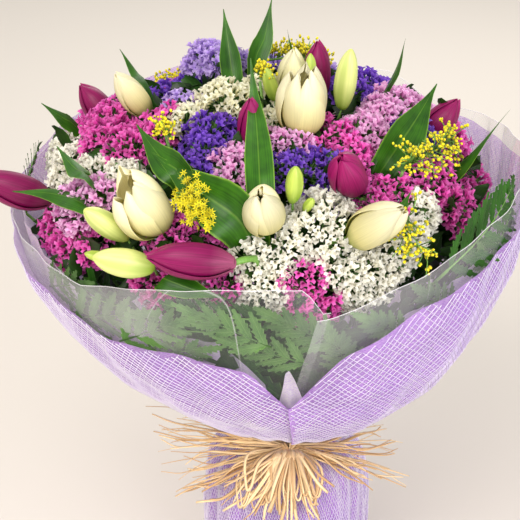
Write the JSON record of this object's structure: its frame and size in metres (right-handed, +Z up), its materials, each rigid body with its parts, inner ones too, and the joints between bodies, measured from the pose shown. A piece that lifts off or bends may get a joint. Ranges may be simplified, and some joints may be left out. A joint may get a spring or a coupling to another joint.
{
  "type": "mixed flower bouquet",
  "caption": "Hand-tied mixed bouquet of tulips, statice, lily buds, goldenrod and fern in clear film and a net wrap tied with raffia, standing on its cut stems.",
  "frame": {"origin": "on the floor under the tie, at the level cut end of the middle stem", "axes": "+Z up along the stems, -Y towards the viewer, +X to the viewer's right"},
  "size_m": [0.4325, 0.4108, 0.5021],
  "materials": {
    "petal_magenta": "satin petal",
    "petal_cream": "satin petal",
    "bud_green": "waxy bud",
    "floret_pink": "papery floret",
    "floret_rose": "papery floret",
    "floret_violet": "papery floret",
    "floret_lilac": "papery floret",
    "floret_white": "papery floret",
    "floret_cream": "papery floret",
    "floret_yellow": "fluffy floret",
    "leaf": "fresh leaf",
    "fern": "fresh frond",
    "net": "open synthetic net",
    "film": "clear glossy film",
    "raffia": "dry plant fibre"
  },
  "bodies": {
    "root": {"fern_back": "fern", "fern_front": "fern", "fern_left": "fern", "fern_low_left": "fern", "fern_right": "fern", "film_sleeve": "film", "goldenrod_back_left": "floret_yellow", "goldenrod_front_left": "floret_yellow", "goldenrod_right": "floret_yellow", "goldenrod_top": "floret_yellow", "lily_buds_centre": "bud_green", "lily_buds_left": "bud_green", "lily_buds_top": "bud_green", "net_wrap": "net", "raffia_tie": "raffia", "statice_cream_top": "floret_cream", "statice_lilac_top": "floret_lilac", "statice_pink_back": "floret_pink", "statice_pink_front": "floret_pink", "statice_pink_left": "floret_pink", "statice_pink_low_left": "floret_pink", "statice_pink_right": "floret_pink", "statice_pink_upper_right": "floret_pink", "statice_rose_centre": "floret_rose", "statice_rose_left": "floret_rose", "statice_rose_right": "floret_rose", "statice_violet_back": "floret_violet", "statice_violet_centre": "floret_violet", "statice_violet_left": "floret_violet", "statice_violet_right": "floret_violet", "statice_white_back": "floret_white", "statice_white_front": "floret_white", "statice_white_left": "floret_white", "statice_white_right": "floret_white", "tulip_cream_behind": "petal_cream", "tulip_cream_centre": "petal_cream", "tulip_cream_far_left": "petal_cream", "tulip_cream_left": "petal_cream", "tulip_cream_right": "petal_cream", "tulip_cream_top": "petal_cream", "tulip_magenta_far_left": "petal_magenta", "tulip_magenta_far_right": "petal_magenta", "tulip_magenta_front": "petal_magenta", "tulip_magenta_inner": "petal_magenta", "tulip_magenta_left": "petal_magenta", "tulip_magenta_right": "petal_magenta", "tulip_magenta_top": "petal_magenta", "tulip_stem_cream_behind": "leaf", "tulip_stem_cream_centre": "leaf", "tulip_stem_cream_far_left": "leaf", "tulip_stem_cream_left": "leaf", "tulip_stem_cream_right": "leaf", "tulip_stem_cream_top": "leaf", "tulip_stem_magenta_far_left": "leaf", "tulip_stem_magenta_far_right": "leaf", "tulip_stem_magenta_front": "leaf", "tulip_stem_magenta_inner": "leaf", "tulip_stem_magenta_left": "leaf", "tulip_stem_magenta_right": "leaf", "tulip_stem_magenta_top": "leaf"}
  },
  "joints": []
}
